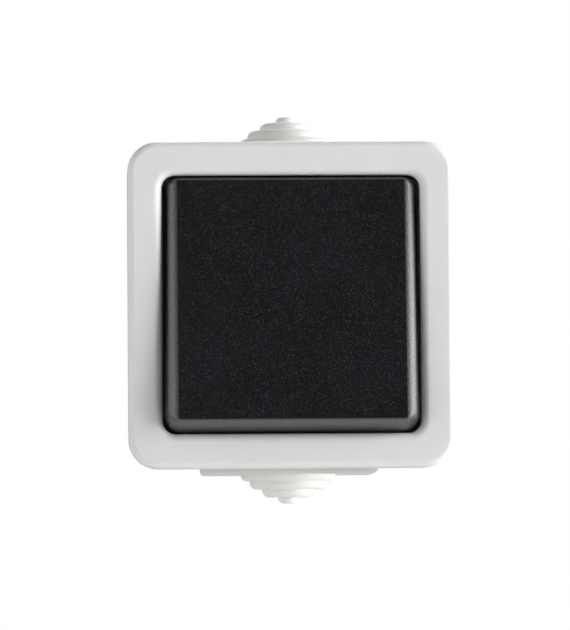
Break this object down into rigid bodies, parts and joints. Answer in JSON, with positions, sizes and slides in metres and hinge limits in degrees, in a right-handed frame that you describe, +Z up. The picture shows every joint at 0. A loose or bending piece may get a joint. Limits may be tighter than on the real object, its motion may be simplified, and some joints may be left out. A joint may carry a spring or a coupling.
{
  "type": "surface mounted light switch",
  "caption": "Square pale grey surface mounted switch housing with a stepped cable grommet above and below and a large black rocker in a rounded window.",
  "frame": {"origin": "middle of the housing's back face, which lies on the wall", "axes": "+Y into the wall, +Z up the wall, +X to the right as seen from the front, so the rocker faces -Y"},
  "size_m": [0.07, 0.0458, 0.0848],
  "materials": {
    "housing_plastic": "fine matt grain, light grey",
    "grommet_rubber": "soft matt elastomer, light grey",
    "seal_rubber": "matt, dark grey",
    "rocker_plastic": "fine sparkling grain, black",
    "mechanism_plastic": "moulded, off-white",
    "plunger_plastic": "moulded, blue",
    "zinc_steel": "zinc plated",
    "contact_brass": "stamped",
    "contact_silver": "silver alloy rivet"
  },
  "bodies": {
    "housing": {"front_frame": "housing_plastic", "back_box": "housing_plastic", "housing_seal": "seal_rubber", "upper_grommet": "grommet_rubber", "lower_grommet": "grommet_rubber", "splash_tray": "housing_plastic", "tray_screws": "zinc_steel", "mechanism_body": "mechanism_plastic", "bearing_plate": "mechanism_plastic", "mechanism_screws": "zinc_steel", "common_contact": "contact_brass", "upper_contact": "contact_brass", "lower_contact": "contact_brass", "fixed_contact_tips": "contact_silver", "terminal_blocks": "contact_brass", "terminal_screws": "zinc_steel"},
    "rocker": {"rocker": "rocker_plastic", "actuator": "mechanism_plastic", "plunger_spring": "zinc_steel"},
    "plunger": {"plunger": "plunger_plastic"},
    "lever": {"contact_lever": "contact_brass", "moving_contact_tips": "contact_silver"}
  },
  "joints": [
    {"name": "rocker_tilt", "type": "hinge", "parent": "housing", "child": "rocker", "pos_m": [0, -0.033, 0], "axis": [1, 0, 0], "range_deg": [0, 11.2]},
    {"name": "plunger_stroke", "type": "slide", "parent": "rocker", "child": "plunger", "axis": [0, -0.9952, 0.0976], "range_m": [0, 0.0008], "stiffness_N_per_m": 800, "deforming": ["plunger_spring"]},
    {"name": "lever_tilt", "type": "hinge", "parent": "housing", "child": "lever", "pos_m": [0, -0.01295, 0], "axis": [1, 0, 0], "range_deg": [-14, 0]}
  ],
  "couplings": [
    {"joint": "lever_tilt", "follows": "rocker_tilt", "ratio": -1.25}
  ]
}
